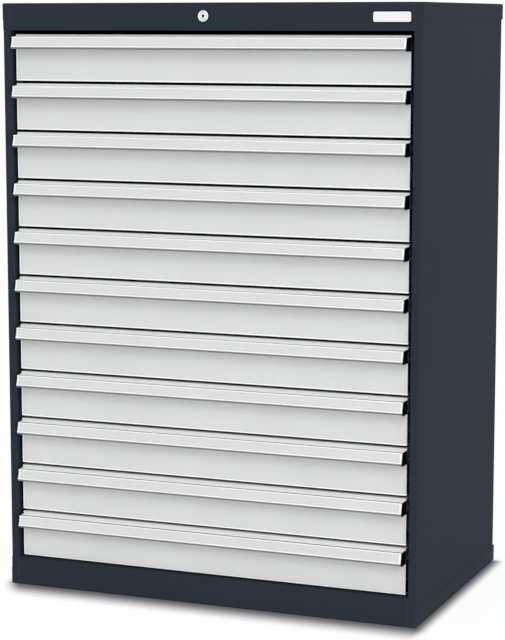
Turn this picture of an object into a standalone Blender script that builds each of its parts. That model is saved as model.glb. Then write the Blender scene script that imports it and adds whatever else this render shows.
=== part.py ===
import math

import bmesh
import bpy
from mathutils import Euler, Matrix, Vector

# Industrial drawer cabinet with eleven equal full-extension drawers and one central lock.
# Metres, +Z up. X runs across the front, Y runs from the front to the back, the floor is Z = 0.
# The origin is under the middle of the whole object, so the housing sits back by half the overhang.

# Housing
WIDTH = 0.900
DEPTH = 0.570
SHEET = 0.0015
BEND_RADIUS = 0.0028
BEND_STEPS = 3
SEAT = 0.0003
OVERRUN = 0.010
WELD_BITE = 0.0004

# Top cover and base pan
FASCIA_HEIGHT = 0.0546
COVER_SKIRT = 0.033
BASE_RAIL_HEIGHT = 0.0595
BASE_SKIRT = 0.035
FRONT_RETURN = 0.020
FLOOR_HOLE_RADIUS = 0.0055
FLOOR_HOLE_INSET = 0.060

# Side panels and back panel
JAMB_WIDTH = 0.018
JAMB_DEPTH = 0.020
REAR_FLANGE = 0.025

# Drawer fronts
DRAWER_COUNT = 11
FRONT_HEIGHT = 0.0945
FRONT_GAP = 0.0055
FRONT_BOTTOM_GAP = 0.0032
FRONT_TOP_GAP = 0.0082
FRONT_SIDE_GAP = 0.008
FRONT_RECESS = 0.010
FRONT_FLANGE = 0.015
FRONT_EDGE = 0.002
FRONT_EDGE_STEPS = 2

# Handle profile, measured out from the drawer front and down from its top edge
HANDLE_DROP = 0.0049
HANDLE_LEDGE = 0.022
HANDLE_FALL = 0.001
HANDLE_REACH = 0.0275
HANDLE_FACE = 0.0212
HANDLE_WALL = 0.002
HANDLE_BACK_LEG = 0.017
GROOVE_WIDTH = 0.004
GROOVE_DEPTH = 0.0025
LABEL_LIP = 0.0026
LABEL_DEPTH = 0.0009
CURL_RADIUS = 0.0036
CURL_STEPS = 4
CURL_LIP = 0.0018
CAP_THICKNESS = 0.002
CAP_DROP = 0.001

# Drawer tray
TRAY_SHEET = 0.0012
TRAY_LIFT = 0.008
TRAY_HEIGHT = 0.072
TRAY_HEM = 0.006
TRAY_REAR_SPACE = 0.040

# Telescopic runners
RUNNER_SPACE = 0.030
RAIL_HEIGHT = 0.040
RAIL_SHEET = 0.0015
RAIL_CENTRE = 0.042
CABINET_RAIL_DEPTH = 0.0135
TRAY_RAIL_DEPTH = 0.010
TRAY_RAIL_LENGTH = 0.470
RUNNER_LENGTH = 0.470
RUNNER_PLAY = 0.0004
RUNNER_SIDE_PLAY = 0.0015
RUNNER_SET_BACK = 0.0035

# Slotted uprights that carry the cabinet rails
UPRIGHT_WIDTH = 0.030
UPRIGHT_DEPTH = 0.011
UPRIGHT_REAR_INSET = 0.020
UPRIGHT_TOP_DROP = 0.062
SLOT_WIDTH = 0.012
SLOT_HEIGHT = 0.006
SLOT_PITCH = 0.050
SLOT_FIRST = 0.034

# Cylinder lock
LOCK_DROP = 0.0266
COLLAR_RADIUS = 0.0112
COLLAR_REACH = 0.006
COLLAR_EDGE = 0.0012
BARREL_RADIUS = 0.0095
BARREL_LENGTH = 0.024
CORE_RADIUS = 0.0076
CORE_SINK = 0.0006
CORE_LENGTH = 0.030
KEYWAY_WIDTH = 0.0024
KEYWAY_HEIGHT = 0.009
KEYWAY_DEPTH = 0.010
TAIL_RADIUS = 0.004
TAIL_LENGTH = 0.014
NUT_ACROSS = 0.027
NUT_THICKNESS = 0.005
NUT_SIDES = 6
ROUND_STEPS = 32

# Lock shaft, crank and locking bar
SHAFT_RADIUS = 0.004
COUPLER_RADIUS = 0.0075
COUPLER_LENGTH = 0.020
CRANK_RADIUS = 0.012
CRANK_THICKNESS = 0.005
CRANK_THROW = 0.006
PIN_RADIUS = 0.002
PIN_STEPS = 16
PIN_PLAY = 0.0005
SHAFT_TAIL = 0.003
BAR_WIDTH = 0.030
BAR_THICKNESS = 0.002
BAR_REAR_SPACE = 0.010
BAR_BOTTOM_SPACE = 0.020
BAR_HEAD = 0.014
BAR_PLAY = 0.0004
CRANK_GAP = 0.003
FINGER_WIDTH = 0.012
FINGER_THICKNESS = 0.0025
FINGER_LIP = 0.0065
CATCH_WIDTH = 0.024
CATCH_REACH = 0.014
CATCH_LIP = 0.006
CATCH_HEIGHT = 0.050
CATCH_GAP = 0.0045
CATCH_CLEARANCE = 0.004
BRACKET_WIDTH = 0.040
BRACKET_SHEET = 0.002
BRACKET_FOOT = 0.018
BRACKET_BELOW = 0.012
BRACKET_REAR_SPACE = 0.052
GUIDE_HEIGHT = 0.022
GUIDE_FOOT = 0.012
GUIDE_RISE = 0.086

# Sizes worked out from the ones above
PITCH = FRONT_HEIGHT + FRONT_GAP
FRONTS_BOTTOM = BASE_RAIL_HEIGHT + FRONT_BOTTOM_GAP
FRONTS_TOP = FRONTS_BOTTOM + DRAWER_COUNT * PITCH - FRONT_GAP
FASCIA_BOTTOM = FRONTS_TOP + FRONT_TOP_GAP
HEIGHT = FASCIA_BOTTOM + FASCIA_HEIGHT
HALF_WIDTH = WIDTH / 2
OPENING_HALF = HALF_WIDTH - JAMB_WIDTH
WALL_OUTER = HALF_WIDTH - SHEET - SEAT
WALL_INNER = WALL_OUTER - SHEET
OVERHANG = HANDLE_REACH - FRONT_RECESS
FRONT_Y = (OVERHANG - DEPTH) / 2
BACK_Y = FRONT_Y + DEPTH
PANEL_Y = FRONT_Y + FRONT_RECESS
BACK_OUTER = BACK_Y - SHEET - SEAT
BACK_INNER = BACK_OUTER - SHEET
FOLD_CLEAR = BEND_RADIUS + SEAT
FRONT_HALF = OPENING_HALF - FRONT_SIDE_GAP
TRAY_HALF = OPENING_HALF - RUNNER_SPACE
TRAY_DEPTH = DEPTH - FRONT_RECESS - TRAY_REAR_SPACE
RAILS_FRONT = PANEL_Y + FRONT_FLANGE + RUNNER_SET_BACK
RUNNER_HALF_HEIGHT = RAIL_HEIGHT / 2 - RAIL_SHEET - RUNNER_PLAY
LOCK_Z = HEIGHT - LOCK_DROP
BAR_BACK = BACK_Y - BAR_REAR_SPACE
BAR_FRONT = BAR_BACK - BAR_THICKNESS
CRANK_BACK = BAR_FRONT - CRANK_GAP
CRANK_FRONT = CRANK_BACK - CRANK_THICKNESS
PIN_OFFSET = CRANK_THROW / math.sqrt(2)

# Finest distance at which two points of an outline are one, and the angle up to which facets look round
MERGE = 0.00001
QUARTER = math.pi / 2
SMOOTH_UP_TO = math.radians(40)

RIGHT = Vector((1, 0, 0))
BACKWARD = Vector((0, 1, 0))
UP = Vector((0, 0, 1))


def clear_scene():
    for leftover in list(bpy.data.objects):
        bpy.data.objects.remove(leftover, do_unlink=True)


clear_scene()
cabinet = bpy.data.collections.new("industrial_drawer_cabinet")
bpy.context.scene.collection.children.link(cabinet)


def finish(name, colour, roughness, metallic):
    made = bpy.data.materials.new(name)
    made.use_nodes = True
    shader = made.node_tree.nodes["Principled BSDF"]
    shader.inputs["Base Color"].default_value = (*colour, 1)
    shader.inputs["Roughness"].default_value = roughness
    shader.inputs["Metallic"].default_value = metallic
    made.diffuse_color = (*colour, 1)
    return made


anthracite = finish("anthracite_powder_coat", (0.033, 0.040, 0.048), 0.45, 0)
light_grey = finish("light_grey_powder_coat", (0.66, 0.68, 0.67), 0.42, 0)
aluminium = finish("anodised_aluminium", (0.80, 0.81, 0.82), 0.32, 1)
zinc = finish("zinc_plated_steel", (0.60, 0.61, 0.62), 0.38, 1)
chrome = finish("polished_nickel", (0.78, 0.78, 0.77), 0.14, 1)
brass = finish("nickel_plated_brass", (0.66, 0.64, 0.58), 0.24, 1)


# Helpers that draw, cut and join

def new_object(name, mesh):
    made = bpy.data.objects.new(name, mesh)
    cabinet.objects.link(made)
    return made


def from_bmesh(name, shape):
    mesh = bpy.data.meshes.new(name)
    bmesh.ops.recalc_face_normals(shape, faces=shape.faces)
    shape.to_mesh(mesh)
    shape.free()
    return new_object(name, mesh)


def block(name, low, high):
    size = Vector(high) - Vector(low)
    shape = bmesh.new()
    bmesh.ops.create_cube(shape, size=1)
    bmesh.ops.scale(shape, vec=size, verts=shape.verts)
    made = from_bmesh(name, shape)
    made.location = (Vector(low) + Vector(high)) / 2
    return made


def rod(name, radius, front, back, sides=ROUND_STEPS):
    # A cylinder along Y, its origin on its axis.
    shape = bmesh.new()
    bmesh.ops.create_cone(
        shape,
        cap_ends=True,
        segments=sides,
        radius1=radius,
        radius2=radius,
        depth=back - front,
        matrix=Matrix.Rotation(QUARTER, 4, "X"),
    )
    made = from_bmesh(name, shape)
    made.location.y = (front + back) / 2
    return made


def evaluated_mesh(drawn):
    bpy.context.view_layer.update()
    depsgraph = bpy.context.evaluated_depsgraph_get()
    return bpy.data.meshes.new_from_object(drawn.evaluated_get(depsgraph))


def apply_modifiers(made):
    mesh = evaluated_mesh(made)
    made.modifiers.clear()
    made.data = mesh
    return made


turns_for = {
    "X": Euler((QUARTER, 0, QUARTER)),
    "Y": Euler((QUARTER, 0, 0)),
    "Z": Euler((0, 0, 0)),
}
shifts_for = {"X": RIGHT, "Y": BACKWARD, "Z": UP}


def prism(name, outline, low, high, along):
    # A flat outline drawn out from low to high along one axis: (Y, Z) along X, (X, Z) along Y, (X, Y) along Z.
    curve = bpy.data.curves.new(name, "CURVE")
    curve.dimensions = "2D"
    curve.fill_mode = "BOTH"
    curve.extrude = (high - low) / 2
    spline = curve.splines.new("POLY")
    spline.points.add(len(outline) - 1)
    for point, (across, up) in zip(spline.points, outline):
        point.co = (across, up, 0, 1)
    spline.use_cyclic_u = True
    drawn = new_object(name + "_outline", curve)
    mesh = evaluated_mesh(drawn)
    bpy.data.objects.remove(drawn, do_unlink=True)
    shape = bmesh.new()
    shape.from_mesh(mesh)
    bpy.data.meshes.remove(mesh)
    bmesh.ops.remove_doubles(shape, verts=shape.verts, dist=MERGE)
    bmesh.ops.transform(shape, matrix=turns_for[along].to_matrix(), verts=shape.verts)
    made = from_bmesh(name, shape)
    made.location = shifts_for[along] * (low + high) / 2
    return made


def turned(name, profile, closed):
    # A profile of (radius, place along Y) points turned about the Y axis.
    mesh = bpy.data.meshes.new(name)
    points = [(radius, 0, -place) for radius, place in profile]
    edges = [(index, index + 1) for index in range(len(points) - 1)]
    if closed:
        edges.append((len(points) - 1, 0))
    mesh.from_pydata(points, edges, [])
    made = new_object(name, mesh)
    screw = made.modifiers.new("turn", "SCREW")
    screw.axis = "Z"
    screw.steps = ROUND_STEPS
    screw.render_steps = ROUND_STEPS
    screw.use_merge_vertices = True
    screw.merge_threshold = MERGE
    apply_modifiers(made)
    shape = bmesh.new()
    shape.from_mesh(made.data)
    bmesh.ops.transform(shape, matrix=Matrix.Rotation(QUARTER, 3, "X"), verts=shape.verts)
    bmesh.ops.recalc_face_normals(shape, faces=shape.faces)
    shape.to_mesh(made.data)
    shape.free()
    return made


def combine(made, tools, operation):
    for tool in tools:
        step = made.modifiers.new(tool.name, "BOOLEAN")
        step.operation = operation
        step.object = tool
    apply_modifiers(made)
    for tool in tools:
        bpy.data.objects.remove(tool, do_unlink=True)
    return made


def join(made, *tools):
    return combine(made, tools, "UNION")


def cut(made, *tools):
    return combine(made, tools, "DIFFERENCE")


def repeated(made, shifts):
    # One mesh that holds a copy of the shape at each shift, as a punch for a row of holes or tabs.
    shape = bmesh.new()
    for shift in shifts:
        before = len(shape.verts)
        shape.from_mesh(made.data)
        shape.verts.ensure_lookup_table()
        bmesh.ops.translate(shape, vec=shift, verts=shape.verts[before:])
    shape.to_mesh(made.data)
    shape.free()
    return made


def mirrored(made, name):
    # The same piece for the other side of the cabinet.
    shape = bmesh.new()
    shape.from_mesh(made.data)
    bmesh.ops.scale(shape, vec=(-1, 1, 1), verts=shape.verts)
    bmesh.ops.reverse_faces(shape, faces=shape.faces)
    other = from_bmesh(name, shape)
    other.location = made.location * Vector((-1, 1, 1))
    return coat(other, made.data.materials[0])


def coat(made, material, smooth_angle=None):
    made.data.materials.clear()
    made.data.materials.append(material)
    if smooth_angle:
        made.data.shade_smooth()
        made.data.set_sharp_from_angle(angle=smooth_angle)
    return made


# Helpers that work out outlines

def rounded(path, radius, steps):
    # The path with each inner corner as an arc.
    points = [Vector(point) for point in path]
    out = [points[0]]
    for before, corner, after in zip(points, points[1:], points[2:]):
        arrive = (corner - before).normalized()
        leave = (after - corner).normalized()
        bend = arrive.angle(leave)
        reach = radius * math.tan(bend / 2)
        side = 1 if arrive.cross(leave) > 0 else -1
        normal = Vector((-arrive.y, arrive.x)) * side
        centre = corner - arrive * reach + normal * radius
        for step in range(steps + 1):
            turn = side * bend * step / steps
            out.append(centre - Matrix.Rotation(turn, 2) @ normal * radius)
    out.append(points[-1])
    return out


def folded(path, thickness):
    # The closed outline of a strip of sheet whose right-hand face follows the path.
    points = [Vector(point) for point in path]
    runs = [(after - before).normalized() for before, after in zip(points, points[1:])]
    inner = []
    for index, point in enumerate(points):
        arrive = runs[max(index - 1, 0)]
        leave = runs[min(index, len(runs) - 1)]
        normal = Vector((-arrive.y - leave.y, arrive.x + leave.x)).normalized()
        spread = normal.dot(Vector((-arrive.y, arrive.x)))
        inner.append(point + normal * thickness / spread)
    return points + inner[::-1]


# Housing

def pan(name, low, high, open_side, radius, steps):
    # A shallow tray of folded sheet, open towards one side, with rounded folds.
    size = Vector(high) - Vector(low)
    shape = bmesh.new()
    bmesh.ops.create_cube(shape, size=1)
    bmesh.ops.scale(shape, vec=size, verts=shape.verts)
    left_out = [face for face in shape.faces if face.normal.dot(open_side) > 0]
    bmesh.ops.delete(shape, geom=left_out, context="FACES_ONLY")
    mesh = bpy.data.meshes.new(name)
    shape.to_mesh(mesh)
    shape.free()
    made = new_object(name, mesh)
    made.location = (Vector(low) + Vector(high)) / 2
    fold = made.modifiers.new("folds", "BEVEL")
    fold.width = radius
    fold.segments = steps
    wall = made.modifiers.new("sheet", "SOLIDIFY")
    wall.thickness = SHEET
    wall.offset = -1
    wall.use_even_offset = True
    return apply_modifiers(made)


def skirt_cutters(pan_low, pan_high, skirt_low, skirt_high):
    # What is trimmed off a pan so that its side and rear skirts are shorter than its front.
    behind = block("behind_trim",
                   (pan_low[0] - OVERRUN, pan_low[1] + SHEET, skirt_low),
                   (pan_high[0] + OVERRUN, pan_high[1] + OVERRUN, skirt_high))
    edges = [block("edge_trim",
                   (min(side * WALL_OUTER, side * (HALF_WIDTH + OVERRUN)), pan_low[1] - OVERRUN, skirt_low),
                   (max(side * WALL_OUTER, side * (HALF_WIDTH + OVERRUN)), pan_low[1] + OVERRUN, skirt_high))
             for side in (-1, 1)]
    return [behind, *edges]


def front_return(name, low, high):
    # The strip folded back behind the front sheet, clear of the jambs.
    return block(name,
                 (SEAT - OPENING_HALF, FRONT_Y + SHEET - WELD_BITE, low),
                 (OPENING_HALF - SEAT, FRONT_Y + FRONT_RETURN, high))


def top_cover():
    low = (-HALF_WIDTH, FRONT_Y, FASCIA_BOTTOM)
    high = (HALF_WIDTH, BACK_Y, HEIGHT)
    made = pan("top_cover", low, high, -UP, BEND_RADIUS, BEND_STEPS)
    trims = skirt_cutters(low, high, FASCIA_BOTTOM - OVERRUN, HEIGHT - COVER_SKIRT)
    lock_hole = rod("lock_hole", BARREL_RADIUS + SEAT, FRONT_Y - OVERRUN, FRONT_Y + OVERRUN)
    lock_hole.location.z = LOCK_Z
    cut(made, *trims, lock_hole)
    join(made, front_return("fascia_return", FASCIA_BOTTOM, FASCIA_BOTTOM + SHEET))
    return coat(made, anthracite)


def base_pan():
    low = (-HALF_WIDTH, FRONT_Y, 0)
    high = (HALF_WIDTH, BACK_Y, BASE_RAIL_HEIGHT)
    made = pan("base_pan", low, high, UP, BEND_RADIUS, BEND_STEPS)
    trims = skirt_cutters(low, high, BASE_SKIRT, BASE_RAIL_HEIGHT + OVERRUN)
    holes = []
    for across in (-HALF_WIDTH + FLOOR_HOLE_INSET, HALF_WIDTH - FLOOR_HOLE_INSET):
        for along in (FRONT_Y + FLOOR_HOLE_INSET, BACK_Y - FLOOR_HOLE_INSET):
            hole = rod("floor_hole", FLOOR_HOLE_RADIUS, -OVERRUN, OVERRUN)
            hole.rotation_euler.x = QUARTER
            hole.location = (across, along, 0)
            holes.append(hole)
    cut(made, *trims, *holes)
    join(made, front_return("rail_return", BASE_RAIL_HEIGHT - SHEET, BASE_RAIL_HEIGHT))
    return coat(made, anthracite)


def side_panel(name):
    # Right-hand wall with the jamb folded round the drawer opening and a flange for the back panel.
    rear = BACK_INNER - SEAT
    path = [
        (WALL_OUTER - REAR_FLANGE, rear),
        (WALL_OUTER, rear),
        (WALL_OUTER, FRONT_Y),
        (OPENING_HALF, FRONT_Y),
        (OPENING_HALF, FRONT_Y + JAMB_DEPTH),
    ]
    outline = folded(rounded(path, BEND_RADIUS, BEND_STEPS)[::-1], SHEET)
    made = prism(name, outline, FOLD_CLEAR, HEIGHT - FOLD_CLEAR, "Z")
    notches = [
        block("base_notch",
              (0, FRONT_Y - OVERRUN, -OVERRUN),
              (WIDTH, FRONT_Y + FOLD_CLEAR, BASE_RAIL_HEIGHT + SEAT)),
        block("cover_notch",
              (0, FRONT_Y - OVERRUN, FASCIA_BOTTOM - SEAT),
              (WIDTH, FRONT_Y + FOLD_CLEAR, HEIGHT + OVERRUN)),
    ]
    return coat(cut(made, *notches), anthracite)


def back_panel():
    half = HALF_WIDTH - FOLD_CLEAR
    made = block("back_panel",
                 (-half, BACK_INNER, FOLD_CLEAR),
                 (half, BACK_OUTER, HEIGHT - FOLD_CLEAR))
    return coat(made, anthracite)


# Runner frames: two slotted uprights with a cabinet rail for each drawer

def front_bottom(number):
    # Height of the bottom edge of a drawer front, counted from the top drawer down.
    return FRONTS_BOTTOM + (DRAWER_COUNT - number) * PITCH


def upright(name, front):
    outer = WALL_INNER - SEAT
    inner = outer - UPRIGHT_DEPTH
    path = [(outer, front), (inner, front), (inner, front + UPRIGHT_WIDTH), (outer, front + UPRIGHT_WIDTH)]
    bottom = SHEET + SEAT
    top = HEIGHT - UPRIGHT_TOP_DROP
    made = prism(name, folded(path[::-1], SHEET), bottom, top, "Z")
    middle = front + UPRIGHT_WIDTH / 2
    count = int((top - bottom - SLOT_FIRST) / SLOT_PITCH) + 1
    slot = block("slot",
                 (inner - OVERRUN, middle - SLOT_WIDTH / 2, bottom + SLOT_FIRST - SLOT_HEIGHT / 2),
                 (inner + SHEET + SEAT, middle + SLOT_WIDTH / 2, bottom + SLOT_FIRST + SLOT_HEIGHT / 2))
    repeated(slot, [Vector((0, 0, SLOT_PITCH)) * step for step in range(count)])
    return cut(made, slot)


def cabinet_rail():
    # A channel open towards the drawer, for the lowest drawer.
    web = WALL_INNER - SEAT - UPRIGHT_DEPTH + WELD_BITE
    lip = web - CABINET_RAIL_DEPTH
    centre = front_bottom(DRAWER_COUNT) + RAIL_CENTRE
    top = centre + RAIL_HEIGHT / 2
    bottom = centre - RAIL_HEIGHT / 2
    path = [(lip, top), (web, top), (web, bottom), (lip, bottom)]
    return prism("cabinet_rail", folded(path[::-1], RAIL_SHEET),
                 RAILS_FRONT, BACK_Y - UPRIGHT_REAR_INSET, "Y")


def runner_frame(name):
    front = upright(name, RAILS_FRONT)
    rear = upright("rear_upright", BACK_Y - UPRIGHT_REAR_INSET - UPRIGHT_WIDTH)
    rails = repeated(cabinet_rail(), [Vector((0, 0, PITCH)) * step for step in range(DRAWER_COUNT)])
    return coat(join(front, rear, rails), zinc)


# Drawer pieces, drawn about the middle of the drawer front's bottom edge

def drawer_front():
    # A sheet folded back along its top and bottom edges and open at both ends.
    path = [(FRONT_FLANGE, 0), (0, 0), (0, FRONT_HEIGHT), (FRONT_FLANGE, FRONT_HEIGHT)]
    outline = folded(rounded(path, FRONT_EDGE, FRONT_EDGE_STEPS)[::-1], SHEET)
    return prism("drawer_front", outline, -FRONT_HALF, FRONT_HALF, "X")


def tray_body():
    # Bottom, both sides and their inward hems as one folded sheet.
    top = TRAY_LIFT + TRAY_HEIGHT
    path = [
        (TRAY_HEM - TRAY_HALF, top),
        (-TRAY_HALF, top),
        (-TRAY_HALF, TRAY_LIFT),
        (TRAY_HALF, TRAY_LIFT),
        (TRAY_HALF, top),
        (TRAY_HALF - TRAY_HEM, top),
    ]
    return prism("tray_body", folded(path, TRAY_SHEET), SHEET - WELD_BITE, TRAY_DEPTH, "Y")


def tray_back():
    return block("tray_back",
                 (-TRAY_HALF, TRAY_DEPTH - TRAY_SHEET, TRAY_LIFT),
                 (TRAY_HALF, TRAY_DEPTH, TRAY_LIFT + TRAY_HEIGHT))


def tray_rail(side):
    # A channel open away from the tray, welded to the tray wall.
    web = TRAY_HALF - WELD_BITE
    lip = web + TRAY_RAIL_DEPTH
    top = RAIL_CENTRE + RAIL_HEIGHT / 2
    bottom = RAIL_CENTRE - RAIL_HEIGHT / 2
    path = [(lip, top), (web, top), (web, bottom), (lip, bottom)]
    outline = [(side * across, up) for across, up in folded(path, RAIL_SHEET)]
    return prism("tray_rail", outline, FRONT_FLANGE, FRONT_FLANGE + TRAY_RAIL_LENGTH, "Y")


def tray_catch():
    # The hook behind the tray that a finger of the locking bar rises in front of.
    rear = TRAY_DEPTH + CATCH_REACH
    path = [
        (TRAY_DEPTH - WELD_BITE, CATCH_HEIGHT + TRAY_SHEET),
        (rear, CATCH_HEIGHT + TRAY_SHEET),
        (rear, CATCH_HEIGHT - CATCH_LIP),
    ]
    return prism("tray_catch", folded(path[::-1], TRAY_SHEET), -CATCH_WIDTH / 2, CATCH_WIDTH / 2, "X")


def tray(name):
    made = tray_body()
    made.name = name
    join(made, tray_back(), drawer_front(), tray_rail(-1), tray_rail(1), tray_catch())
    return coat(made, light_grey)


def handle(name):
    # An extruded grip, open below for the fingers: a sloping ledge with a channel along its outer edge, a face
    # with a seat for the label, a lower edge that curls back inward, and a cap at each end.
    ledge = FRONT_HEIGHT - HANDLE_DROP
    foot = ledge - HANDLE_FACE
    slope = (HANDLE_REACH - HANDLE_LEDGE) / HANDLE_FACE
    curl_middle = CURL_RADIUS - HANDLE_REACH

    def face(below, inward=0):
        return (inward - HANDLE_LEDGE - slope * below, ledge - below)

    def curl(out, down):
        turns = [QUARTER * step / CURL_STEPS for step in range(CURL_STEPS + 1)]
        return [(curl_middle - out * math.cos(turn), foot - down * math.sin(turn)) for turn in turns]

    groove_front = HANDLE_WALL - HANDLE_LEDGE
    groove_back = groove_front + GROOVE_WIDTH
    groove_bed = ledge - GROOVE_DEPTH
    inner_curl = CURL_RADIUS - HANDLE_WALL
    section = [
        (-SEAT, ledge + HANDLE_FALL),
        (groove_back, ledge),
        (groove_back, groove_bed),
        (groove_front, groove_bed),
        (groove_front, ledge),
        face(0),
        face(LABEL_LIP),
        face(LABEL_LIP, LABEL_DEPTH),
        face(HANDLE_FACE - LABEL_LIP, LABEL_DEPTH),
        face(HANDLE_FACE - LABEL_LIP),
        *curl(CURL_RADIUS, CURL_RADIUS),
        (curl_middle + CURL_LIP, foot - CURL_RADIUS),
        (curl_middle + CURL_LIP, foot - inner_curl),
        *curl(inner_curl, inner_curl)[::-1],
        face(HANDLE_FACE - LABEL_LIP, HANDLE_WALL + LABEL_DEPTH),
        face(HANDLE_WALL + GROOVE_DEPTH, HANDLE_WALL + LABEL_DEPTH),
        (groove_back + HANDLE_WALL, groove_bed - HANDLE_WALL),
        (groove_back + HANDLE_WALL, ledge - HANDLE_WALL),
        (-SEAT - HANDLE_WALL, ledge - HANDLE_WALL),
        (-SEAT - HANDLE_WALL, ledge - HANDLE_BACK_LEG),
        (-SEAT, ledge - HANDLE_BACK_LEG),
    ]
    cap_fall = CURL_RADIUS + CAP_DROP
    end = [(-SEAT, ledge + HANDLE_FALL), face(0), *curl(CURL_RADIUS, cap_fall), (-SEAT, foot - cap_fall)]
    bar_half = FRONT_HALF - CAP_THICKNESS + WELD_BITE
    made = prism(name, section, -bar_half, bar_half, "X")
    caps = [prism("left_cap", end, -FRONT_HALF, CAP_THICKNESS - FRONT_HALF, "X"),
            prism("right_cap", end, FRONT_HALF - CAP_THICKNESS, FRONT_HALF, "X")]
    return coat(join(made, *caps), aluminium)


def runner(name):
    # The middle member of the right-hand runner: its flanges run in the tray rail and in the cabinet rail.
    inner = TRAY_HALF + RAIL_SHEET + RUNNER_SIDE_PLAY
    outer = OPENING_HALF - RUNNER_SIDE_PLAY
    left_web = (inner + outer - RAIL_SHEET) / 2
    right_web = left_web + RAIL_SHEET
    rise = RUNNER_HALF_HEIGHT
    under = RUNNER_HALF_HEIGHT - RAIL_SHEET
    section = [
        (inner, rise), (outer, rise), (outer, under), (right_web, under),
        (right_web, -under), (outer, -under), (outer, -rise), (inner, -rise),
        (inner, -under), (left_web, -under), (left_web, under), (inner, under),
    ]
    outline = [(across, up + RAIL_CENTRE) for across, up in section]
    front = FRONT_FLANGE + RUNNER_SET_BACK
    return coat(prism(name, outline, front, front + RUNNER_LENGTH, "Y"), zinc)


# Lock

def lock_collar():
    # The polished rim in front of the fascia and the barrel behind it, with the bore for the core.
    bore = CORE_RADIUS + SEAT
    profile = [
        (bore, FRONT_Y - COLLAR_REACH),
        (COLLAR_RADIUS - COLLAR_EDGE, FRONT_Y - COLLAR_REACH),
        (COLLAR_RADIUS, FRONT_Y - COLLAR_REACH + COLLAR_EDGE),
        (COLLAR_RADIUS, FRONT_Y - SEAT),
        (BARREL_RADIUS, FRONT_Y - SEAT),
        (BARREL_RADIUS, FRONT_Y + BARREL_LENGTH),
        (bore, FRONT_Y + BARREL_LENGTH),
    ]
    made = turned("lock_collar", profile, True)
    made.location.z = LOCK_Z
    return coat(made, chrome, SMOOTH_UP_TO)


def lock_nut():
    # The hexagonal nut that draws the collar against the fascia.
    front = FRONT_Y + SHEET + SEAT
    rear = front + NUT_THICKNESS
    made = rod("lock_nut", NUT_ACROSS / math.sqrt(3), front, rear, NUT_SIDES)
    cut(made, rod("nut_bore", BARREL_RADIUS + SEAT, front - OVERRUN, rear + OVERRUN))
    made.location.z = LOCK_Z
    return coat(made, brass)


def lock_cylinder():
    # The core that the key turns, with its keyway in front and a tail for the shaft behind.
    front = FRONT_Y - COLLAR_REACH + CORE_SINK
    shoulder = front + CORE_LENGTH
    profile = [
        (0, front),
        (CORE_RADIUS, front),
        (CORE_RADIUS, shoulder),
        (TAIL_RADIUS, shoulder),
        (TAIL_RADIUS, shoulder + TAIL_LENGTH),
        (0, shoulder + TAIL_LENGTH),
    ]
    made = turned("lock_cylinder", profile, False)
    keyway = block("keyway",
                   (-KEYWAY_WIDTH / 2, front - OVERRUN, -KEYWAY_HEIGHT / 2),
                   (KEYWAY_WIDTH / 2, front + KEYWAY_DEPTH, KEYWAY_HEIGHT / 2))
    cut(made, keyway)
    made.location.z = LOCK_Z
    return coat(made, brass, SMOOTH_UP_TO)


def lock_shaft():
    # The long shaft that carries the key's turn to the back, sleeved over the core's tail.
    shoulder = FRONT_Y - COLLAR_REACH + CORE_SINK + CORE_LENGTH + SEAT
    sleeve_end = shoulder + COUPLER_LENGTH
    bore = TAIL_RADIUS + SEAT
    bore_end = shoulder + TAIL_LENGTH + SEAT
    profile = [
        (0, bore_end),
        (bore, bore_end),
        (bore, shoulder),
        (COUPLER_RADIUS, shoulder),
        (COUPLER_RADIUS, sleeve_end),
        (SHAFT_RADIUS, sleeve_end),
        (SHAFT_RADIUS, CRANK_FRONT + SHAFT_TAIL),
        (0, CRANK_FRONT + SHAFT_TAIL),
    ]
    made = turned("lock_shaft", profile, False)
    made.location.z = LOCK_Z
    return coat(made, zinc, SMOOTH_UP_TO)


def lock_crank():
    # A disc on the shaft's end whose pin stands in the locking bar's slot.
    made = rod("lock_crank", CRANK_RADIUS, CRANK_FRONT, CRANK_BACK)
    socket = rod("crank_socket", SHAFT_RADIUS + SEAT, CRANK_FRONT - OVERRUN, CRANK_FRONT + SHAFT_TAIL + SEAT)
    cut(made, socket)
    pin = rod("crank_pin", PIN_RADIUS, CRANK_BACK - WELD_BITE, BAR_BACK + WELD_BITE, PIN_STEPS)
    pin.location.x = -PIN_OFFSET
    pin.location.z = -PIN_OFFSET
    join(made, pin)
    made.location.z = LOCK_Z
    return coat(made, zinc, SMOOTH_UP_TO)


def shaft_bracket():
    # A folded plate under the top cover with the shaft's rear bearing hole.
    front = BACK_Y - BRACKET_REAR_SPACE
    top = HEIGHT - SHEET - SEAT
    path = [(front + BRACKET_FOOT, top), (front, top), (front, LOCK_Z - BRACKET_BELOW)]
    made = prism("shaft_bracket", folded(path, BRACKET_SHEET), -BRACKET_WIDTH / 2, BRACKET_WIDTH / 2, "X")
    hole = rod("bearing_hole", SHAFT_RADIUS + SEAT, front - OVERRUN, front + OVERRUN)
    hole.location.z = LOCK_Z
    return coat(cut(made, hole), zinc)


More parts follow.
